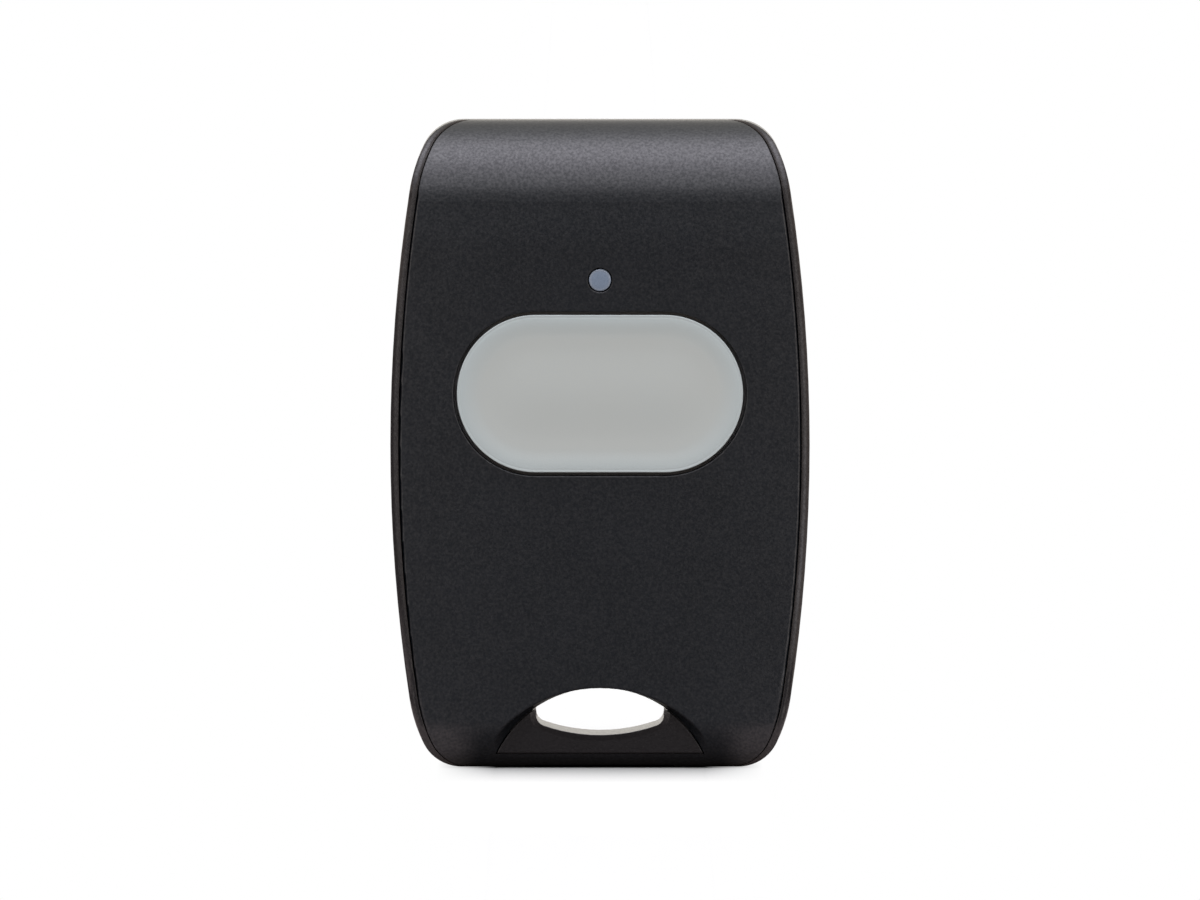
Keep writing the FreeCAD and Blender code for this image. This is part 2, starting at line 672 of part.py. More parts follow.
def rear_cover():
    """Tub with side rims that run forward beside the cover, and the walled cord slot."""
    face = solid_outline("rear_outline", front_y, back_y)
    round_body(face, "rim_round", lambda box: at_y(box, front_y))
    round_body(face, "back_edge", lambda box: at_y(box, back_y))
    block = common("rear_block", face, solid_profile("rear_profile"))

    behind_cover = size("cover_wall") + "fit_gap"
    seat_pad = solid_outline("seat_outline", outer_y, part_y, "rim_width")
    seat_core = solid_profile("seat_core", behind_cover, back_y + "past")
    seat = cut("cover_seat", seat_pad, seat_core)
    cavity = solid_outline("rear_cavity", outer_y, rear_in_y,
                           size("side_wall") - "end_wall", "end_wall")
    tub = cut("rear_tub", block, fuse("rear_hollow", seat, cavity))

    ring_round = solid_round("arch_ring_round", cover_in_y + "fit_gap", welded_y,
                             arch_radius + "arch_wall", arch_z)
    ring = common("arch_ring", ring_round, solid_profile("arch_ring_profile", behind_cover))
    plug = arch_radius - size("fit_gap") * 2
    floor_round = solid_round("arch_floor_round", recess_y, welded_y, plug, arch_z)
    lip = common("slot_lip", slot_lip("slot_lip_cone"),
                 solid_round("slot_lip_round", outer_y, welded_y, plug, arch_z))
    below = solid_block("arch_below", outer_y, part_y, "case_width",
                        size("arch_foot") + "fit_gap" + "past", -size("past"))
    floor = cut("arch_floor", common("arch_floor_block", fuse("arch_floor_face", floor_round, lip),
                                     block), common("strip_seat", seat, below))

    bosses = solid_pairs("rear_bosses", boss_y, welded_y, "boss_radius", screw_x,
                         screw_levels)
    shoulder = solid_pairs("rear_boss_feet", board_back_y, welded_y,
                           size("boss_radius") + "foot_step", screw_x, (screw_high,))
    posts = solid_pairs("board_posts", board_back_y, welded_y, "board_post", post_x,
                        ("post_level",))
    pins = solid_pairs("board_pins", board_y - "pin_out", rear_in_y, "board_pin", post_x,
                       ("post_level",))
    rib_y = clip_y + "clip_thick" + size("fit_gap") * 2
    rib_low = size("cell_level") - size("rib_thick") / 2
    ribs = [
        solid_block("cell_rib_%s" % name, rib_y, welded_y, "rib_width", "rib_thick",
                    rib_low + offset)
        for name, offset in (("low", -size("rib_apart") / 2), ("high", size("rib_apart") / 2))
    ]
    moulded = fuse("rear_moulding", tub, ring, floor, bosses, shoulder, posts, pins, *ribs)

    slot = new_body("cord_slot_cut")
    sketch = new_sketch(slot, "XZ_Plane", outer_y)
    draw_slot(sketch)
    pad(slot, sketch, size("overall_depth") + size("past") * 2)
    slot_width = size("case_width") * "slot_share" + size("shoulder_step") * 2
    shoulders = common(
        "slot_shoulders",
        solid_round("slot_shoulder_round", outer_y, back_y + "past",
                    arch_radius + "slot_relief", arch_z),
        solid_block("slot_shoulder_block", outer_y, back_y + "past", slot_width,
                    "arch_crown", "slot_shoulder"))
    relief = bar_relief("bar_relief")
    shank = solid_pairs("rear_screw_holes", boss_y - "past", back_y,
                        size("screw_radius") + "shank_gap", screw_x, screw_levels)
    heads = solid_pairs("rear_head_holes", head_y, back_y + "past",
                        size("screw_head") + "head_gap", screw_x, screw_levels)
    return cut("rear_cover", moulded,
               fuse("rear_cutters", slot, shoulders, relief, shank, heads))


def slot_lip(label):
    """Low lip that rises from the recess's floor to the edge of the cord slot."""
    body = new_body(label)
    foot = new_sketch(body, "XZ_Plane", recess_y)
    draw_slot(foot, "lip_width")
    edge = new_sketch(body, "XZ_Plane", recess_y - "lip_tall")
    draw_slot(edge)
    rise = body.newObject("PartDesign::AdditiveLoft", label + "_loft")
    rise.Profile = foot
    rise.Sections = [edge]
    rise.Ruled = True
    body.Tip = rise
    return body


def draw_slot(sketch, grow=0.0):
    """Cord slot: its top follows the arch, its lower edge is a flatter arc, its ends round.

    grow offsets the whole line outwards.
    """
    top = arch_radius + "slot_relief" + grow
    low = size("slot_radius") + grow
    corner = size("slot_corner") + grow
    half = size("case_width") * size("slot_share") / 2 + grow
    low_centre = size("slot_low") + "slot_radius"
    zt = arch_z.value
    zl = low_centre.value
    x = half.value - corner.value
    r = corner.value
    upper = zt + math.sqrt((top.value - r) ** 2 - x * x)
    lower = zl - math.sqrt((low.value - r) ** 2 - x * x)
    up = math.degrees(math.atan2(upper - zt, x))
    down = math.degrees(math.atan2(lower - zl, x))
    sketch.addGeometry([
        arc((0, zt), top.value, up, 180 - up),
        arc((-x, upper), r, 180 - up, 180),
        line((-half.value, upper), (-half.value, lower)),
        arc((-x, lower), r, 180, 180 - down),
        arc((0, zl), low.value, 180 - down, 360 + down),
        arc((x, lower), r, down, 0),
        line((half.value, lower), (half.value, upper)),
        arc((x, upper), r, 0, up),
    ])
    for k in range(8):
        relate(sketch, "Tangent", k, 2, (k + 1) % 8, 1)
    for k in (3, 5, 7):
        relate(sketch, "Equal", 1, k)
    relate(sketch, "Vertical", 2)
    relate(sketch, "Vertical", 6)
    relate(sketch, "PointOnObject", 0, 3, -2)
    relate(sketch, "PointOnObject", 4, 3, -2)
    dimension(sketch, "half_width", "DistanceX", 6, 2, half)
    dimension(sketch, "top_radius", "Radius", 0, top)
    dimension(sketch, "low_radius", "Radius", 4, low)
    dimension(sketch, "corner", "Radius", 1, corner)
    dimension(sketch, "width", "DistanceX", 2, 1, 6, 2, half * 2)
    dimension(sketch, "low_centre", "DistanceY", 4, 3, low_centre)
    dimension(sketch, "centres", "DistanceY", 0, 3, 4, 3, low_centre - arch_z)


def alarm_button():
    """Stadium cap with a raised rim and a dished face, a lip behind the cover and a post."""
    crest_y = -size("overall_depth") / 2
    lip_y = cover_in_y + size("fit_gap") * 2
    lip_back_y = lip_y + "flange_thick"
    width, height = size("button_width"), size("button_height")
    body = solid_stadium("alarm_button", crest_y, lip_back_y, width, height)
    lip = new_sketch(body, "XZ_Plane", lip_y)
    draw_stadium(lip, flange_width, flange_height, "button_level")
    pad(body, lip, "flange_thick")
    wall = size("button_wall")
    hollow_y = crest_y + wall
    hollow = new_sketch(body, "XZ_Plane", hollow_y)
    draw_stadium(hollow, width - wall * 2, height - wall * 2, "button_level")
    pocket(body, hollow, lip_back_y - hollow_y)
    post = new_sketch(body, "XZ_Plane", hollow_y)
    draw_circle(post, "post_radius", "button_level")
    pad(body, post, web_y - "fit_gap" - hollow_y)
    rim = size("button_rim") * 2
    dish = new_sketch(body, "XZ_Plane", crest_y)
    draw_stadium(dish, width - rim, height - rim, "button_level")
    slope = size("button_slope") * 2
    floor = new_sketch(body, "XZ_Plane", crest_y + "button_dish")
    draw_stadium(floor, width - rim - slope, height - rim - slope, "button_level")
    face = body.newObject("PartDesign::SubtractiveLoft", "button_face")
    face.Profile = dish
    face.Sections = [floor]
    face.Ruled = True
    body.Tip = face
    doc.recompute()
    lowest = (size("button_level") - height / 2).value + NEAR
    highest = (size("button_level") + height / 2).value - NEAR

    def is_outer(box):
        return at_y(box, crest_y) and (box.ZMin < lowest or box.ZMax > highest)

    round_body(body, "button_edge", is_outer)
    return body


def button_membrane():
    """Silicone boot that seals the button: skirt on the board, thin web, nib on the switch."""
    body = solid_stadium("button_membrane", web_y, board_y, ring_width, ring_height)
    inner_y = web_y + "membrane_thick"
    skirt = size("membrane_wall") * 2
    hollow = new_sketch(body, "XZ_Plane", inner_y)
    draw_stadium(hollow, ring_width - skirt, ring_height - skirt, "button_level")
    pocket(body, hollow, board_y - inner_y)
    nib = new_sketch(body, "XZ_Plane", inner_y)
    draw_circle(nib, "plunger_radius", "button_level")
    pad(body, nib, plunger_y - "fit_gap" - inner_y)
    return body


def light_pipe():
    """Clear pin that carries the status light from the board to the cover's face."""
    tip_y = front_y + "fit_gap"
    foot_y = board_y - size("led_thick") - "fit_gap"
    body = solid_round("status_light_pipe", tip_y, foot_y, "lamp_radius", "lamp_level")
    shoulder = new_sketch(body, "XZ_Plane", cover_in_y + "fit_gap")
    draw_circle(shoulder, size("lamp_radius") + "lamp_flange", "lamp_level")
    pad(body, shoulder, "flange_thick")
    round_body(body, "small_bevel", lambda box: at_y(box, tip_y), "Chamfer")
    return body


def circuit_board():
    body = solid_outline("circuit_board", board_y, board_back_y,
                         size("side_wall") - "end_wall", size("end_wall") + "board_gap")
    trim = new_sketch(body, "XZ_Plane", board_y)
    draw_rectangle(trim, "case_width", size("board_low") + "past", -size("past"))
    pocket(body, trim, "board_thick")
    for radius, apart, level in (
        (size("boss_radius") + "hole_gap", screw_x, screw_high),
        (size("board_pin") + "fit_gap", post_x, "post_level"),
    ):
        holes = new_sketch(body, "XZ_Plane", board_y)
        draw_pair(holes, radius, apart, (level,))
        pocket(body, holes, "board_thick")
    return body


def switch_body():
    low = size("button_level") - size("switch_tall") / 2
    front = board_y - "switch_thick"
    body = solid_block("switch_body", front, board_y, "switch_width", "switch_tall", low)
    well = new_sketch(body, "XZ_Plane", front)
    draw_circle(well, size("plunger_radius") + "fit_gap", "button_level")
    pocket(body, well, size("plunger_in") + "button_travel" + "fit_gap")
    return body


def switch_plunger():
    return solid_round("switch_plunger", plunger_y, plunger_y + "plunger_out" + "plunger_in",
                       "plunger_radius", "button_level")


def box_on_board(label, width, tall, thick, x, z):
    """A part soldered to the front of the board, centred at x, z."""
    item = doc.addObject("Part::Box", label)
    item.Label = label
    width, tall, thick = size(width), size(tall), size(thick)
    bind(item, "Length", width)
    bind(item, "Width", thick)
    bind(item, "Height", tall)
    bind(item, ".Placement.Base.x", size(x) - width / 2)
    bind(item, ".Placement.Base.y", board_y - thick)
    bind(item, ".Placement.Base.z", size(z) - tall / 2)
    return item


def on_board(label, width, tall, thick, level, places):
    """Parts of one kind on the board, one solid at each place."""
    centres = [(size("grid") * right, size(level) + size("grid") * up) for right, up in places]
    if len(centres) == 1:
        return box_on_board(label, width, tall, thick, *centres[0])
    boxes = [box_on_board("%s_%d" % (label, k), width, tall, thick, x, z)
             for k, (x, z) in enumerate(centres)]
    return fuse(label, *boxes)


def bridge(label, half, y_from, y_to, sheet_thick, low, tall, strip_in_front):
    """U of sheet metal on the board: two legs and a strip between their ends."""
    outer = solid_bar(label + "_outer", half, y_from, y_to, low, low + tall)
    if strip_in_front:
        inner_from, inner_to = y_from + sheet_thick, y_to + "past"
    else:
        inner_from, inner_to = y_from - "past", y_to - sheet_thick
    inner = solid_bar(label + "_inner", half - sheet_thick, inner_from, inner_to,
                      low - "past", low + tall + "past")
    return cut(label, outer, inner)


def solid_bar(label, half, y_from, y_to, low, high):
    """Plain box centred on the YZ plane."""
    item = doc.addObject("Part::Box", label)
    bind(item, "Length", half * 2)
    bind(item, "Width", y_to - y_from)
    bind(item, "Height", high - low)
    bind(item, ".Placement.Base.x", -half)
    bind(item, ".Placement.Base.y", y_from)
    bind(item, ".Placement.Base.z", low)
    return item


def antenna():
    return bridge("antenna", antenna_x, board_y - "antenna_lift", board_y,
                  "antenna_sheet", top_z - "antenna_top", "antenna_tall", True)


def positive_clip():
    half = size("cell_radius") + "cell_gap" + "holder_wall" + "clip_thick" + "fit_gap"
    low = size("cell_level") - size("clip_width") / 2
    return bridge("battery_positive_clip", half, board_back_y,
                  clip_y + "fit_gap" + "clip_thick", "clip_thick", low, "clip_width", False)


def case_screws():
    """Four self-tapping screws, from the back into the cover's bosses."""
    tip_y = boss_y - "screw_bite" + "screw_tip"
    body = solid_pairs("case_screws", tip_y, head_y, "screw_radius", screw_x, screw_levels)
    body.AllowCompound = True
    heads = new_sketch(body, "XZ_Plane", head_y)
    draw_pair(heads, "screw_head", screw_x, screw_levels)
    pad(body, heads, "head_thick")
    drive = new_sketch(body, "XZ_Plane", back_y - "head_sunk" - "drive_depth")
    draw_pair(drive, "drive_radius", screw_x, screw_levels)
    pocket(body, drive, "drive_depth")
    return body


def coin_cell():
    """Steel can with the smaller negative cap towards the board."""
    cap = size("cell_cap")
    body = solid_round("coin_cell", cell_y + cap, clip_y, "cell_radius", "cell_level")
    lid = new_sketch(body, "XZ_Plane", cell_y)
    draw_circle(lid, size("cell_radius") - "cell_step", "cell_level")
    pad(body, lid, cap)
    round_body(body, "small_bevel", lambda box: at_y(box, clip_y), "Chamfer")
    return body


def cell_holder():
    """Ring on the back of the board, open at the top so that a nail can lift the cell."""
    inner = size("cell_radius") + "cell_gap"
    top_y = board_back_y + "holder_tall"
    body = solid_round("battery_holder", board_back_y, top_y, inner + "holder_wall",
                       "cell_level")
    bore = new_sketch(body, "XZ_Plane", board_back_y)
    draw_circle(bore, inner, "cell_level")
    pocket(body, bore, "holder_tall")
    notch = new_sketch(body, "XZ_Plane", board_back_y + "notch_sill")
    draw_rectangle(notch, "holder_notch", size("cell_radius") * 2, "cell_level")
    pocket(body, notch, size("holder_tall") - "notch_sill")
    return body


def negative_contact():
    body = solid_round("battery_negative_contact", board_back_y, board_back_y + "clip_thick",
                       "contact_radius", "cell_level")
    dome = new_sketch(body, "XZ_Plane", board_back_y)
    draw_circle(dome, size("contact_radius") / 2, "cell_level")
    pad(body, dome, size("cell_lift") - "fit_gap")
    return body


parts = [
    front_cover(),
    rear_cover(),
    alarm_button(),
    button_membrane(),
    light_pipe(),
    circuit_board(),
    switch_body(),
    switch_plunger(),
    *(on_board(*row) for row in ON_BOARD),
    antenna(),
    coin_cell(),
    cell_holder(),
    positive_clip(),
    negative_contact(),
    case_screws(),
]
doc.recompute()
faults = ["%s: %s" % (item.Name, item.State) for item in doc.Objects
          if "Invalid" in item.State or "Error" in item.State]
faults += [item.Label for item in parts if item.Shape.isNull() or not item.Shape.isValid()]
if faults:
    raise RuntimeError("failed objects: " + ", ".join(faults))

os.makedirs(OUT, exist_ok=True)
for item in parts:
    item.Shape.exportStep(os.path.join(OUT, item.Label + ".step"))
    print(item.Label, round(item.Shape.Volume, 2), "mm3,", len(item.Shape.Solids), "solids")
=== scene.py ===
import math

import bmesh
import bpy
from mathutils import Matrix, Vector


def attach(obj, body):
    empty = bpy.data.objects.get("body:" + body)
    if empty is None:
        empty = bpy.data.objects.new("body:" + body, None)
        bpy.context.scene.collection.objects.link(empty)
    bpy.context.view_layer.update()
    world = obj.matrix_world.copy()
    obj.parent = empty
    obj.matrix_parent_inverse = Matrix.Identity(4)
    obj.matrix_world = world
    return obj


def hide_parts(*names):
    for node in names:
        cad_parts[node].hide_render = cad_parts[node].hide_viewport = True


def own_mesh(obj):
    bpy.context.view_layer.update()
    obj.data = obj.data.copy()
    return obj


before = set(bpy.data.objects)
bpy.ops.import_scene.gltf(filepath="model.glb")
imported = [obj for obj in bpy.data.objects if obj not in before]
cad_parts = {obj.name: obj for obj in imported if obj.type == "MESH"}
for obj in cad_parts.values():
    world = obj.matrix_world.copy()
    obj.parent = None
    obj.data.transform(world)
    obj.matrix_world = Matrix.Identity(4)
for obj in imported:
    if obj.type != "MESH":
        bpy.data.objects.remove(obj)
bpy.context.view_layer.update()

MM = 0.001
WHITE = (1.0, 1.0, 1.0, 1.0)

# Places and sizes in the CAD model, in millimetres
CREST_Y = -6.0
COVER_IN_Y = -4.4
BUTTON_LEVEL = 32.2
BUTTON_HALF = 12.28
BUTTON_RADIUS = 6.75
BUTTON_STRAIGHT = BUTTON_HALF - BUTTON_RADIUS
LAMP_LEVEL = 41.94

# The button's finish: rounding of its edge, where painted shade begins on its parts behind the
# face that sit down in the gap, over how much depth it comes in, and its colours; the last colour
# is that painted shade
BUTTON_EDGE = 0.045
GAP_SHADE_FROM_Y = -5.72
GAP_SHADE_BLEND = 0.12
DISH_COLOUR = (0.352, 0.388, 0.372)
RIM_COLOUR = (0.337, 0.396, 0.398)
GAP_SHADE_COLOUR = (0.170, 0.168, 0.165)

# Waves over the button's face: their depth, where they begin inside the edge, and their width
BUTTON_WAVES = ((0.07, 0.45, 1.4), (0.045, 0.6, 2.8), (-0.08, 2.7, 4.0))
GROOVE_DEPTH, GROOVE_INSET, GROOVE_WIDTH = 0.012, 0.22, 0.06

# The cover's face leans back by this much between these heights
ROLL_LOW = 44.3
ROLL_HIGH = 51.3
ROLL_DEPTH = 0.28

# Radius of the softened edges by height
FRONT_EDGES = ((0.0, 0.02), (1.5, 0.02), (2.2, 0.30), (7.4, 0.30), (9.0, 0.12))
REAR_EDGES = ((0.0, 0.10), (8.0, 0.10), (9.5, 0.60), (56.0, 0.60))
EDGE_SAMPLES = 6

# The part of a fine noise's range that is used
GRAIN_RANGE = (0.32, 0.68)


# Node helpers

def new_material(name):
    """A material with one principled shader. Returns the material, its tree and the shader."""
    material = bpy.data.materials.new(name)
    material.use_nodes = True
    tree = material.node_tree
    tree.nodes.clear()
    out = tree.nodes.new("ShaderNodeOutputMaterial")
    shader = tree.nodes.new("ShaderNodeBsdfPrincipled")
    tree.links.new(shader.outputs["BSDF"], out.inputs["Surface"])
    return material, tree, shader


def add(tree, kind, **settings):
    """A node. Settings named after an input set it, others set an attribute of the node."""
    node = tree.nodes.new(kind)
    names = {socket.name.lower(): socket for socket in node.inputs}
    for key, value in settings.items():
        label = key.replace("_", " ")
        if label in names:
            names[label].default_value = value
        else:
            setattr(node, key, value)
    return node


def calc(tree, operation, *values, clamp=False):
    """A sum, product or other function of sockets and numbers."""
    node = add(tree, "ShaderNodeMath", operation=operation, use_clamp=clamp)
    for socket, value in zip(node.inputs, values):
        if isinstance(value, float):
            socket.default_value = value
        else:
            tree.links.new(value, socket)
    return node.outputs[0]


def axes_of(tree, space="Object"):
    """X, Y and Z of a point, or of a direction in the world, as sockets."""
    place = tree.nodes.new("ShaderNodeTexCoord")
    axes = tree.nodes.new("ShaderNodeSeparateXYZ")
    tree.links.new(place.outputs[space], axes.inputs[0])
    return axes.outputs


def object_noise(tree, size_mm, detail=2.0, roughness=0.5, stretch=(1.0, 1.0, 1.0)):
    """Noise over the object's own coordinates, with features of about this size."""
    place = tree.nodes.new("ShaderNodeTexCoord")
    scale = add(tree, "ShaderNodeMapping")
    scale.inputs["Scale"].default_value = [one / (size_mm * MM) for one in stretch]
    noise = add(tree, "ShaderNodeTexNoise", scale=1.0, detail=detail, roughness=roughness)
    tree.links.new(place.outputs["Object"], scale.inputs["Vector"])
    tree.links.new(scale.outputs["Vector"], noise.inputs["Vector"])
    return noise.outputs["Fac"]


def spread(tree, value, low, high, start=0.3, end=0.7):
    """Maps a value between start and end to the range from low to high."""
    node = tree.nodes.new("ShaderNodeMapRange")
    node.inputs["From Min"].default_value = start
    node.inputs["From Max"].default_value = end
    node.inputs["To Min"].default_value = low
    node.inputs["To Max"].default_value = high
    tree.links.new(value, node.inputs["Value"])
    return node.outputs["Result"]


def two_colours(tree, value, dark, light, start=0.3, end=0.7):
    """A colour between two, by a value between start and end."""
    ramp = tree.nodes.new("ShaderNodeValToRGB")
    stops = ramp.color_ramp.elements
    for stop, place, colour in zip(stops, (start, end), (dark, light)):
        stop.position = place
        stop.color = (*colour, 1.0)
    tree.links.new(value, ramp.inputs["Fac"])
    return ramp.outputs["Color"]


def many_colours(tree, value, stops):
    """A colour by a value from 0 to 1, from pairs of value and colour."""
    ramp = tree.nodes.new("ShaderNodeValToRGB")
    elements = ramp.color_ramp.elements
    while len(elements) < len(stops):
        elements.new(1.0)
    for element, (place, colour) in zip(elements, stops):
        element.position = place
        element.color = (*colour, 1.0)
    tree.links.new(value, ramp.inputs["Fac"])
    return ramp.outputs["Color"]


def mix_colours(tree, factor, one, two):
    """Goes from a linked colour to a constant one as the factor goes from 0 to 1."""
    node = tree.nodes.new("ShaderNodeMix")
    node.data_type = "RGBA"
    sockets = {socket.identifier: socket for socket in node.inputs}
    tree.links.new(factor, sockets["Factor_Float"])
    tree.links.new(one, sockets["A_Color"])
    sockets["B_Color"].default_value = (*two, 1.0)
    return next(socket for socket in node.outputs if socket.identifier == "Result_Color")


def mix_shaders(tree, factor, one, two):
    """Goes from one shader to the other as the factor goes from 0 to 1."""
    node = tree.nodes.new("ShaderNodeMixShader")
    for socket, source in zip(node.inputs, (factor, one, two)):
        tree.links.new(source, socket)
    return node.outputs[0]


def bump(tree, value, depth_mm, under=None):
    node = add(tree, "ShaderNodeBump", strength=1.0, distance=depth_mm * MM)
    tree.links.new(value, node.inputs["Height"])
    if under is not None:
        tree.links.new(under, node.inputs["Normal"])
    return node.outputs["Normal"]


def bevel(tree, by_height):
    """Softened edges, from pairs of height and radius."""
    node = tree.nodes.new("ShaderNodeBevel")
    node.samples = EDGE_SAMPLES
    top = by_height[-1][0]
    height = spread(tree, axes_of(tree)["Z"], 0.0, 1.0, 0.0, top * MM)
    radius = many_colours(tree, height, [(level / top, (radius,) * 3)
                                         for level, radius in by_height])
    tree.links.new(calc(tree, "MULTIPLY", radius, MM), node.inputs["Radius"])
    return node.outputs["Normal"]


def soft_roll(tree, under):
    """The flat face leans back a little before the roll over the top begins."""
    lean = spread(tree, axes_of(tree)["Z"], 1.0, 0.0, ROLL_LOW * MM, ROLL_HIGH * MM)
    lean.node.interpolation_type = "SMOOTHSTEP"
    return bump(tree, lean, ROLL_DEPTH, under)


def plastic(name, dark, light, rough, grain_mm, grain_depth, edges=(), sparkle=(), rolled=False):
    """Moulded plastic: two close tones in soft mottling, uneven gloss and a fine grain.

    edges gives pairs of height and edge radius. sparkle is the range of the surface
    reflection over the grain's pits and peaks.
    """
    material, tree, shader = new_material(name)
    mottle = object_noise(tree, 6.0, 3.0)
    tree.links.new(two_colours(tree, mottle, dark, light), shader.inputs["Base Color"])
    gloss = object_noise(tree, grain_mm, 1.0)
    tree.links.new(spread(tree, gloss, *rough, *GRAIN_RANGE), shader.inputs["Roughness"])
    under = bevel(tree, edges) if edges else None
    if rolled:
        under = soft_roll(tree, under)
    grain = object_noise(tree, grain_mm, 3.0, 0.6)
    tree.links.new(bump(tree, grain, grain_depth, under), shader.inputs["Normal"])
    if sparkle:
        peaks = object_noise(tree, grain_mm * 0.9, 1.0)
        level = spread(tree, peaks, *sparkle, *GRAIN_RANGE)
        tree.links.new(level, shader.inputs["Specular IOR Level"])
    return material


def metal(name, dark, light, rough, brush_mm, depth, stretch=(1.0, 1.0, 12.0)):
    """Sheet metal with fine drawn lines."""
    material, tree, shader = new_material(name)
    lines = object_noise(tree, brush_mm, 3.0, 0.6, stretch)
    tree.links.new(two_colours(tree, lines, dark, light), shader.inputs["Base Color"])
    tree.links.new(spread(tree, lines, *rough), shader.inputs["Roughness"])
    tree.links.new(bump(tree, lines, depth), shader.inputs["Normal"])
    shader.inputs["Metallic"].default_value = 1.0
    return material


# Materials

case_front = plastic("case_front", (0.0028, 0.0046, 0.0066), (0.0040, 0.0060, 0.0084),
                     (0.28, 0.34), 0.25, 0.012, FRONT_EDGES, (0.38, 0.62), rolled=True)
case_rear = plastic("case_rear", (0.0060, 0.0059, 0.0068), (0.0080, 0.0078, 0.0087),
                    (0.21, 0.27), 0.25, 0.010, REAR_EDGES, (0.40, 0.60))
silicone = plastic("silicone", (0.42, 0.42, 0.40), (0.50, 0.50, 0.48), (0.55, 0.7), 0.3, 0.004)
chip_black = plastic("chip_black", (0.012, 0.012, 0.013), (0.024, 0.024, 0.026),
                     (0.5, 0.65), 0.08, 0.003)
switch_white = plastic("switch_white", (0.55, 0.54, 0.50), (0.64, 0.63, 0.60),
                       (0.4, 0.5), 0.15, 0.003)
holder_plastic = plastic("holder_plastic", (0.035, 0.035, 0.038), (0.055, 0.055, 0.06),
                         (0.42, 0.55), 0.15, 0.004)
ceramic = plastic("ceramic", (0.38, 0.27, 0.16), (0.50, 0.37, 0.24), (0.35, 0.5), 0.12, 0.003)
led_plastic = plastic("led_plastic", (0.68, 0.66, 0.48), (0.82, 0.80, 0.66),
                      (0.15, 0.25), 0.2, 0.001)
steel = metal("steel", (0.50, 0.50, 0.49), (0.66, 0.66, 0.65), (0.22, 0.38), 0.12, 0.002)
bright_steel = metal("bright_steel", (0.62, 0.62, 0.61), (0.76, 0.76, 0.75),
                     (0.10, 0.22), 0.35, 0.001, (1.0, 1.0, 1.0))
brass = metal("brass", (0.62, 0.45, 0.17), (0.80, 0.62, 0.30), (0.2, 0.34), 0.12, 0.002)


def button_plastic():
    """Grey plastic, a little cooler on the raised rim than in the dish, with painted shade on the
    parts behind its face that sit down in the gap.
    """
    rim_from, rim_to, rim_share = 4.6, 6.3, 0.8
    material, tree, shader = new_material("button_grey")
    axes = axes_of(tree)
    aside = calc(tree, "ABSOLUTE", axes["X"])
    past = calc(tree, "SUBTRACT", aside, BUTTON_STRAIGHT * MM, clamp=True)
    rise = calc(tree, "SUBTRACT", axes["Z"], BUTTON_LEVEL * MM)
    squares = [calc(tree, "MULTIPLY", value, value) for value in (past, rise)]
    reach = calc(tree, "POWER", calc(tree, "ADD", *squares), 0.5)
    rim = spread(tree, reach, 0.0, rim_share, rim_from * MM, rim_to * MM)
    mottle = spread(tree, object_noise(tree, 9.0, 3.0), 0.0, 1.0 - rim_share)
    tone = two_colours(tree, calc(tree, "ADD", rim, mottle), DISH_COLOUR, RIM_COLOUR, 0.0, 1.0)
    # Painted shade: behind the button's face its colour goes dark, where those parts sit in the
    # shaded gap round the opening
    gap_shade = spread(tree, axes["Y"], 0.0, 1.0, GAP_SHADE_FROM_Y * MM, (GAP_SHADE_FROM_Y + GAP_SHADE_BLEND) * MM)
    tree.links.new(mix_colours(tree, gap_shade, tone, GAP_SHADE_COLOUR), shader.inputs["Base Color"])
    gloss = object_noise(tree, 0.3)
    tree.links.new(spread(tree, gloss, 0.44, 0.52), shader.inputs["Roughness"])
    grain = object_noise(tree, 0.16, 2.0)
    tree.links.new(bump(tree, grain, 0.004), shader.inputs["Normal"])
    return material


def solder_mask():
    """Green lacquer with the weave of the laminate faintly showing through it."""
    weave_mm = 0.9
    material, tree, shader = new_material("solder_mask")
    place = tree.nodes.new("ShaderNodeTexCoord")
    weave = []
    for direction in ("X", "Z"):
        wave = add(tree, "ShaderNodeTexWave", scale=1.0 / (weave_mm * MM), distortion=0.6)
        wave.bands_direction = direction
        tree.links.new(place.outputs["Object"], wave.inputs["Vector"])
        weave.append(wave.outputs["Fac"])
    both = calc(tree, "MULTIPLY", *weave)
    tone = two_colours(tree, both, (0.006, 0.075, 0.03), (0.012, 0.12, 0.05))
    tree.links.new(tone, shader.inputs["Base Color"])
    gloss = object_noise(tree, 1.5)
    tree.links.new(spread(tree, gloss, 0.22, 0.34), shader.inputs["Roughness"])
    tree.links.new(bump(tree, both, 0.004), shader.inputs["Normal"])
    return material


def lens():
    """Smoke-blue clear plastic, a little lighter towards its edge."""
    ring_from, ring_to = 0.55, 0.96
    material, tree, shader = new_material("lens")
    place = tree.nodes.new("ShaderNodeTexCoord")
    shift = add(tree, "ShaderNodeVectorMath", operation="SUBTRACT")
    shift.inputs[1].default_value = (0.0, 0.0, LAMP_LEVEL * MM)
    flat = add(tree, "ShaderNodeVectorMath", operation="MULTIPLY")
    flat.inputs[1].default_value = (1.0, 0.0, 1.0)
    length = add(tree, "ShaderNodeVectorMath", operation="LENGTH")
    tree.links.new(place.outputs["Object"], shift.inputs[0])
    tree.links.new(shift.outputs["Vector"], flat.inputs[0])
    tree.links.new(flat.outputs["Vector"], length.inputs[0])
    ring = spread(tree, length.outputs["Value"], 0.0, 1.0, ring_from * MM, ring_to * MM)
    tone = two_colours(tree, ring, (0.142, 0.186, 0.246), (0.176, 0.216, 0.268))
    tree.links.new(tone, shader.inputs["Base Color"])
    gloss = object_noise(tree, 0.4)
    tree.links.new(spread(tree, gloss, 0.22, 0.32), shader.inputs["Roughness"])
    haze = object_noise(tree, 0.25)
    tree.links.new(bump(tree, haze, 0.002), shader.inputs["Normal"])
    shader.inputs["IOR"].default_value = 1.49
    return material


button_grey = button_plastic()
board_green = solder_mask()
lens_blue = lens()

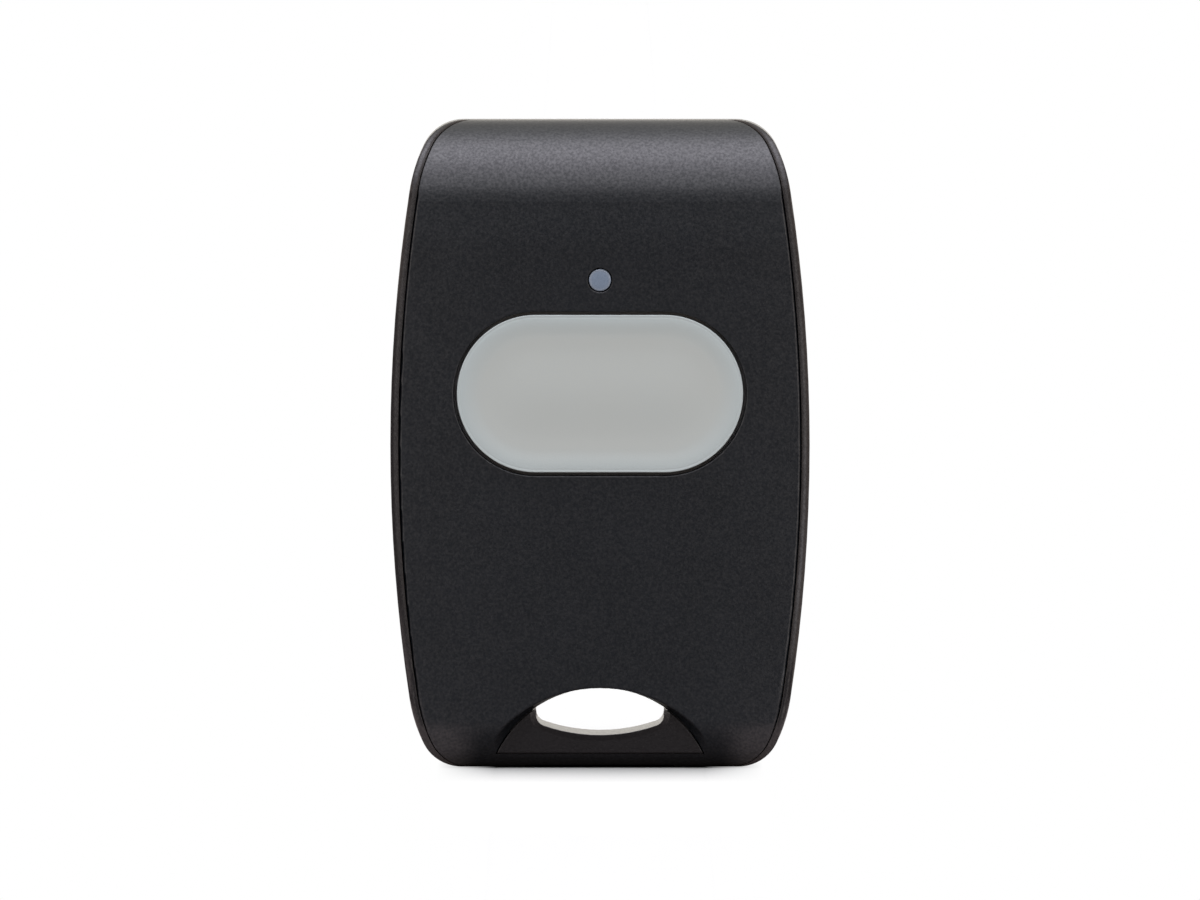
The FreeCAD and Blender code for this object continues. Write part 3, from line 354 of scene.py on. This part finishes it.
FINISHES = {
    "front_cover": case_front, "rear_cover": case_rear, "button_membrane": silicone,
    "circuit_board": board_green, "switch_body": switch_white, "switch_plunger": chip_black,
    "status_led": led_plastic, "radio_chip": chip_black, "microcontroller": chip_black,
    "crystal": bright_steel, "chip_capacitors": ceramic, "chip_resistors": chip_black,
    "matching_coils": ceramic, "antenna": brass, "coin_cell": bright_steel,
    "battery_holder": holder_plastic, "battery_positive_clip": steel,
    "battery_negative_contact": steel, "case_screws": steel,
}


def paint(piece, material):
    piece.data.materials.clear()
    piece.data.materials.append(material)


for name, material in FINISHES.items():
    paint(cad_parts[name], material)


# Meshes

def make_object(name, mesh, material):
    piece = bpy.data.objects.new(name, mesh)
    bpy.context.scene.collection.objects.link(piece)
    paint(piece, material)
    return piece


def skin_rings(name, rings, material):
    """A closed skin through rings of points, each ring with the same number of points."""
    weld_mm = 0.0004
    shape = bmesh.new()
    rows = [[shape.verts.new([value * MM for value in point]) for point in ring]
            for ring in rings]
    for one, two in zip(rows, rows[1:]):
        for k in range(len(one)):
            n = (k + 1) % len(one)
            shape.faces.new((one[k], one[n], two[n], two[k]))
    bmesh.ops.remove_doubles(shape, verts=shape.verts, dist=weld_mm * MM)
    bmesh.ops.recalc_face_normals(shape, faces=shape.faces)
    for face in shape.faces:
        face.smooth = True
    mesh = bpy.data.meshes.new(name)
    shape.to_mesh(mesh)
    shape.free()
    return make_object(name, mesh, material)


def stadium_ring(radius, y, straights=24, arcs=40):
    """Points round the button's stadium, at this radius of its ends, in a plane of constant y."""
    points = []
    for side in (1.0, -1.0):
        for k in range(arcs):
            turn = math.pi * k / arcs - math.pi / 2
            points.append((side * (BUTTON_STRAIGHT + radius * math.cos(turn)), y,
                           BUTTON_LEVEL + side * radius * math.sin(turn)))
        for k in range(straights):
            x = BUTTON_STRAIGHT - 2 * BUTTON_STRAIGHT * k / straights
            points.append((side * x, y, BUTTON_LEVEL + side * radius))
    return points


def disc_ring(like, radius, y, half_width, half_height):
    """A circle round the button's middle whose points lie in the directions of another ring's."""
    points = []
    for x, _, z in like:
        turn = math.atan2((z - BUTTON_LEVEL) / half_height, x / half_width)
        points.append((radius * math.cos(turn), y, BUTTON_LEVEL + radius * math.sin(turn)))
    return points


def smooth_step(value):
    value = min(1.0, max(0.0, value))
    return value * value * (3.0 - 2.0 * value)


def button_depth(inset):
    """Depth of the button's face behind its crest, at this distance in from its edge."""
    if inset < BUTTON_EDGE:
        return BUTTON_EDGE - math.sqrt(BUTTON_EDGE ** 2 - (BUTTON_EDGE - inset) ** 2)
    waves = sum(deep * smooth_step((inset - start) / width) for deep, start, width in BUTTON_WAVES)
    return waves + GROOVE_DEPTH * math.exp(-((inset - GROOVE_INSET) / GROOVE_WIDTH) ** 2)


def button_insets(edge_steps=6, fine_steps=12, slope_steps=26, crown_steps=16):
    """Distances in from the button's edge, from its middle outwards and closer by the edge."""
    fine_step, slope_end = 0.03, 3.3
    insets = [BUTTON_EDGE * (1 - math.cos(math.pi / 2 * k / edge_steps))
              for k in range(edge_steps + 1)]
    insets += [BUTTON_EDGE + fine_step * k for k in range(1, fine_steps + 1)]
    fine = insets[-1]
    insets += [fine + (slope_end - fine) * k / slope_steps for k in range(1, slope_steps + 1)]
    insets += [slope_end + (BUTTON_RADIUS - slope_end) * k / crown_steps
               for k in range(1, crown_steps + 1)]
    return insets[::-1]


def button_cap():
    """The stadium button: soft raised rim, valley, crowned face, lip, hollow and post."""
    lip_y, lip_back_y = -4.3, -3.5
    hollow_y, post_y = -4.9, -3.15
    wall, lip, post, hollow_middle, post_middle = 1.1, 0.76, 1.6, 3.2, 0.5
    soft, lip_soft = 0.06, 0.05
    outside, inside = BUTTON_RADIUS + lip, BUTTON_RADIUS - wall
    rings = [stadium_ring(BUTTON_RADIUS - inset, CREST_Y + button_depth(inset))
             for inset in button_insets()]
    for radius, y in (
        (BUTTON_RADIUS, lip_y - lip_soft), (BUTTON_RADIUS + lip_soft, lip_y),
        (outside - soft, lip_y), (outside, lip_y + soft),
        (outside, lip_back_y - soft), (outside - soft, lip_back_y),
        (inside + soft, lip_back_y), (inside, lip_back_y - soft),
        (inside, hollow_y + soft), (inside - soft, hollow_y), (hollow_middle, hollow_y),
    ):
        rings.append(stadium_ring(radius, y))
    last = rings[-1]
    for radius, y in (
        (post + soft, hollow_y), (post, hollow_y + soft), (post, post_y - soft),
        (post - soft, post_y), (post_middle, post_y), (0.0, post_y),
    ):
        rings.append(disc_ring(last, radius, y, BUTTON_STRAIGHT + hollow_middle, hollow_middle))
    piece = skin_rings("button_cap", rings, button_grey)
    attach(piece, "button")
    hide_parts("alarm_button")


def light_pipe(count=72, edge_steps=6):
    """A turned clear pin: low dome, shaft, shoulder behind the cover and a foot."""
    tip_y, foot_y = -5.65, -1.65
    radius, shoulder, edge = 0.96, 1.30, 0.12
    dome = ((0.0, 0.0), (0.3, 0.004), (0.6, 0.016))
    dome_depth, soft, foot_soft, foot_middle = 0.03, 0.05, 0.06, 0.3
    shoulder_y, shoulder_back_y = COVER_IN_Y + 0.05, COVER_IN_Y + 0.85
    profile = [(r, tip_y + deep) for r, deep in dome]
    for k in range(edge_steps + 1):
        turn = math.pi / 2 * k / edge_steps
        profile.append((radius - edge + edge * math.sin(turn),
                        tip_y + dome_depth + edge * (1 - math.cos(turn))))
    profile += [
        (radius, shoulder_y), (shoulder - soft, shoulder_y), (shoulder, shoulder_y + soft),
        (shoulder, shoulder_back_y - soft), (shoulder - soft, shoulder_back_y),
        (radius, shoulder_back_y), (radius, foot_y - foot_soft), (radius - foot_soft, foot_y),
        (foot_middle, foot_y), (0.0, foot_y),
    ]
    rings = [[(r * math.cos(2 * math.pi * k / count), y,
               LAMP_LEVEL + r * math.sin(2 * math.pi * k / count)) for k in range(count)]
             for r, y in profile]
    piece = skin_rings("light_pipe_lens", rings, lens_blue)
    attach(piece, "case")
    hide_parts("status_light_pipe")


def lay_rows(shape, step=0.22 * MM, stride=0.4 * MM, crowd=10, least=4):
    """Lays a rounded edge's triangles from row to row, where they all meet in one corner.

    A corner with at least crowd faces is such a hub. The row pairs start at its longest
    link, over stride, and go on while their steps stay under step.
    """
    shape.verts.ensure_lookup_table()
    for hub in list(shape.verts):
        if len(hub.link_faces) < crowd:
            continue
        after, before = {}, {}
        for face in hub.link_faces:
            loop = next(one for one in face.loops if one.vert == hub)
            one, two = loop.link_loop_next.vert, loop.link_loop_prev.vert
            after[one], before[two] = two, one
        for one, two in list(after.items()):
            if (one.co - two.co).length < stride:
                continue
            left, right = [one], [two]
            while True:
                far, near = before.get(left[-1]), after.get(right[-1])
                if far is None or near is None or far in right or near in left:
                    break
                if max((far.co - left[-1].co).length, (near.co - right[-1].co).length) > step:
                    break
                left.append(far)
                right.append(near)
            if len(left) < least:
                continue
            rows = set(left) | set(right)
            old = [face for face in hub.link_faces
                   if all(vert == hub or vert in rows for vert in face.verts)]
            for face in old:
                shape.faces.remove(face)
            for k in range(len(left) - 1):
                shape.faces.new((left[k + 1], left[k], right[k]))
                shape.faces.new((left[k + 1], right[k], right[k + 1]))
            shape.faces.new((hub, left[-1], right[-1]))
            break
    for edge in [edge for edge in shape.edges if not edge.link_faces]:
        shape.edges.remove(edge)


def copied_piece(name, node, material):
    """A CAD solid's own shape, with its triangles in rows along the rounded edges."""
    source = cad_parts[node].data
    upright = [None] * len(source.vertices)
    for corner, normal in zip(source.loops, source.corner_normals):
        upright[corner.vertex_index] = normal.vector.copy()
    shape = bmesh.new()
    shape.from_mesh(source)
    lay_rows(shape)
    for face in shape.faces:
        face.smooth = True
    mesh = bpy.data.meshes.new(name)
    shape.to_mesh(mesh)
    shape.free()
    mesh.normals_split_custom_set_from_vertices(upright)
    piece = make_object(name, mesh, material)
    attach(piece, "case")
    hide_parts(node)
    return piece


copied_piece("rear_shell", "rear_cover", case_rear)
button_cap()
light_pipe()

# The silicone boot gets a mesh of its own. On the real part it gives way as the button goes in,
# while its foot stays on the board
boot = copied_piece("silicone_boot", "button_membrane", silicone)
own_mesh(boot)


# Stage, light and camera

# The table: half its side in metres, then its colour, its colour to bounced light, and that of
# the strips beside the foot
TABLE_HALF = 6.0
TABLE_PALE = (0.58, 0.611, 0.59, 1.0)
TABLE_BOUNCE = (0.14, 0.127, 0.12)
STRIP_BOUNCE = (0.55, 0.49, 0.47)

# Where the table's parts pass into each other, in millimetres from the middle: the lit part
# into the glowing part, and the end of the strips to the sides and to the front and back
LIT_END = (9, 14)
STRIP_END_ASIDE = (30, 45)
STRIP_END_AHEAD = (20, 30)
# The painted contact shadow: how far, and with how many samples, ambient occlusion darkens the
# table's colour near the case
PAINTED_SHADOW_REACH = 32
PAINTED_SHADOW_SAMPLES = 16


def between(tree, value, low, high, span_mm):
    """Maps a distance within a span in millimetres to the range from low to high."""
    return spread(tree, value, low, high, *(one * MM for one in span_mm))


def stage_floor():
    """A pale lit table that glows white at both sides of the case. Near the case its colour
    darkens by ambient occlusion, a painted contact shadow over the real shadow that the lit table
    also gets.

    It's dark to bounced light, so that the case's underside stays dark, apart from two strips
    beside the foot that lift the case's lower corners.
    """
    mesh = bpy.data.meshes.new("floor")
    signs = ((-1, -1), (1, -1), (1, 1), (-1, 1))
    mesh.from_pydata([(x * TABLE_HALF, y * TABLE_HALF, 0) for x, y in signs], [], [(0, 1, 2, 3)])
    material = bpy.data.materials.new("floor")
    material.use_nodes = True
    tree = material.node_tree
    tree.nodes.clear()
    out = tree.nodes.new("ShaderNodeOutputMaterial")
    axes = axes_of(tree)
    aside = calc(tree, "ABSOLUTE", axes["X"])
    ahead = calc(tree, "ABSOLUTE", axes["Y"])
    middle = between(tree, aside, 1.0, 0.0, LIT_END)
    # Painted shadow: ambient occlusion darkens the table's colour near the case
    painted_shadow = add(tree, "ShaderNodeAmbientOcclusion", samples=PAINTED_SHADOW_SAMPLES, color=TABLE_PALE,
                 distance=PAINTED_SHADOW_REACH * MM)
    lit = tree.nodes.new("ShaderNodeBsdfDiffuse")
    tree.links.new(painted_shadow.outputs["Color"], lit.inputs["Color"])
    glow = add(tree, "ShaderNodeEmission", color=WHITE)
    table = mix_shaders(tree, middle, glow.outputs[0], lit.outputs[0])
    plain = middle
    for value, end in ((aside, STRIP_END_ASIDE), (ahead, STRIP_END_AHEAD)):
        plain = calc(tree, "MAXIMUM", plain, between(tree, value, 0.0, 1.0, end))
    bounce = tree.nodes.new("ShaderNodeBsdfDiffuse")
    tree.links.new(two_colours(tree, plain, STRIP_BOUNCE, TABLE_BOUNCE), bounce.inputs["Color"])
    path = tree.nodes.new("ShaderNodeLightPath")
    seen = mix_shaders(tree, path.outputs["Is Camera Ray"], bounce.outputs[0], table)
    tree.links.new(seen, out.inputs["Surface"])
    make_object("floor", mesh, material)


# Brightness and tint of the studio by the angle over the object: 0 in front, 90 overhead,
# 180 behind, and negative below
LIGHT_BY_ANGLE = (
    (-180, 1.2, (1.0, 1.0, 1.0)), (-150, 0.3, (1.0, 1.0, 1.0)), (-90, 0.05, (1.0, 1.0, 1.0)),
    (-20, 0.04, (1.0, 1.0, 1.0)), (0, 0.05, (1.0, 1.0, 1.0)), (14, 0.28, (1.0, 0.99, 1.02)),
    (34, 2.5, (1.0, 0.98, 1.04)), (50, 3.2, (1.0, 0.97, 1.06)), (66, 4.9, (1.0, 0.975, 1.06)),
    (86, 4.3, (1.0, 0.975, 1.06)), (108, 1.4, (1.0, 0.98, 1.0)), (126, 0.8, (1.0, 0.97, 0.93)),
    (145, 0.55, (1.0, 0.95, 0.88)), (165, 0.9, (1.0, 0.95, 0.87)), (180, 1.2, (1.0, 0.96, 0.90)),
)
BRIGHTEST = 6.0

# Colour of the studio's sides, as a share of the brightest, and where they begin and are full
SIDE_COLOUR = (0.128, 0.107, 0.097)
SIDE_FROM, SIDE_FULL = 0.30, 0.62
BACKDROP = 1.1


def studio_world():
    """A soft studio: bright overhead, dim in front and below. The backdrop is white."""
    world = bpy.data.worlds.new("studio")
    bpy.context.scene.world = world
    world.use_nodes = True
    tree = world.node_tree
    tree.nodes.clear()
    out = tree.nodes.new("ShaderNodeOutputWorld")
    axes = axes_of(tree, "Generated")
    front = calc(tree, "MULTIPLY", axes["Y"], -1.0)
    angle = calc(tree, "ARCTAN2", axes["Z"], front)
    turn = spread(tree, angle, 0.0, 1.0, -math.pi, math.pi)
    stops = [((degrees + 180) / 360, [power * one / BRIGHTEST for one in tint])
             for degrees, power, tint in LIGHT_BY_ANGLE]
    arch = many_colours(tree, turn, stops)
    aside = calc(tree, "ABSOLUTE", axes["X"])
    side = spread(tree, aside, 0.0, 1.0, SIDE_FROM, SIDE_FULL)
    light = add(tree, "ShaderNodeBackground", strength=BRIGHTEST)
    tree.links.new(mix_colours(tree, side, arch, SIDE_COLOUR), light.inputs["Color"])
    white = add(tree, "ShaderNodeBackground", color=WHITE, strength=BACKDROP)
    path = tree.nodes.new("ShaderNodeLightPath")
    seen = mix_shaders(tree, path.outputs["Is Camera Ray"], light.outputs[0], white.outputs[0])
    tree.links.new(seen, out.inputs["Surface"])


def side_light(side):
    """A warm upright strip beside the camera. It lifts the rims and the cover's outer parts."""
    power, level = 0.025, 30
    data = bpy.data.lights.new("side_light", "AREA")
    data.shape = "RECTANGLE"
    data.size = 40 * MM
    data.size_y = 110 * MM
    data.energy = power
    data.color = (1.0, 0.92, 0.88)
    light = bpy.data.objects.new("side_light", data)
    light.visible_camera = False
    bpy.context.scene.collection.objects.link(light)
    light.location = [one * MM for one in (side * 56, -95, level)]
    aim = Vector((0.0, 0.0, level * MM)) - light.location
    light.rotation_euler = aim.to_track_quat("-Z", "Y").to_euler()


def set_camera():
    """Far away and slightly above, so that the picture has hardly any perspective."""
    distance, rise, seen_width, aim_level = 2.8, math.radians(1.9), 103.2 * MM, 27.17 * MM
    data = bpy.data.cameras.new("camera")
    data.sensor_width = 36.0
    data.lens = data.sensor_width * distance / seen_width
    data.clip_start = 0.05
    data.clip_end = 20.0
    camera = bpy.data.objects.new("camera", data)
    bpy.context.scene.collection.objects.link(camera)
    target = Vector((0.0, 0.0, aim_level))
    camera.location = target + distance * Vector((0.0, -math.cos(rise), math.sin(rise)))
    camera.rotation_euler = (target - camera.location).to_track_quat("-Z", "Y").to_euler()
    bpy.context.scene.camera = camera
    bpy.context.scene.view_settings.view_transform = "Standard"


stage_floor()
studio_world()
side_light(-1)
side_light(1)
set_camera()
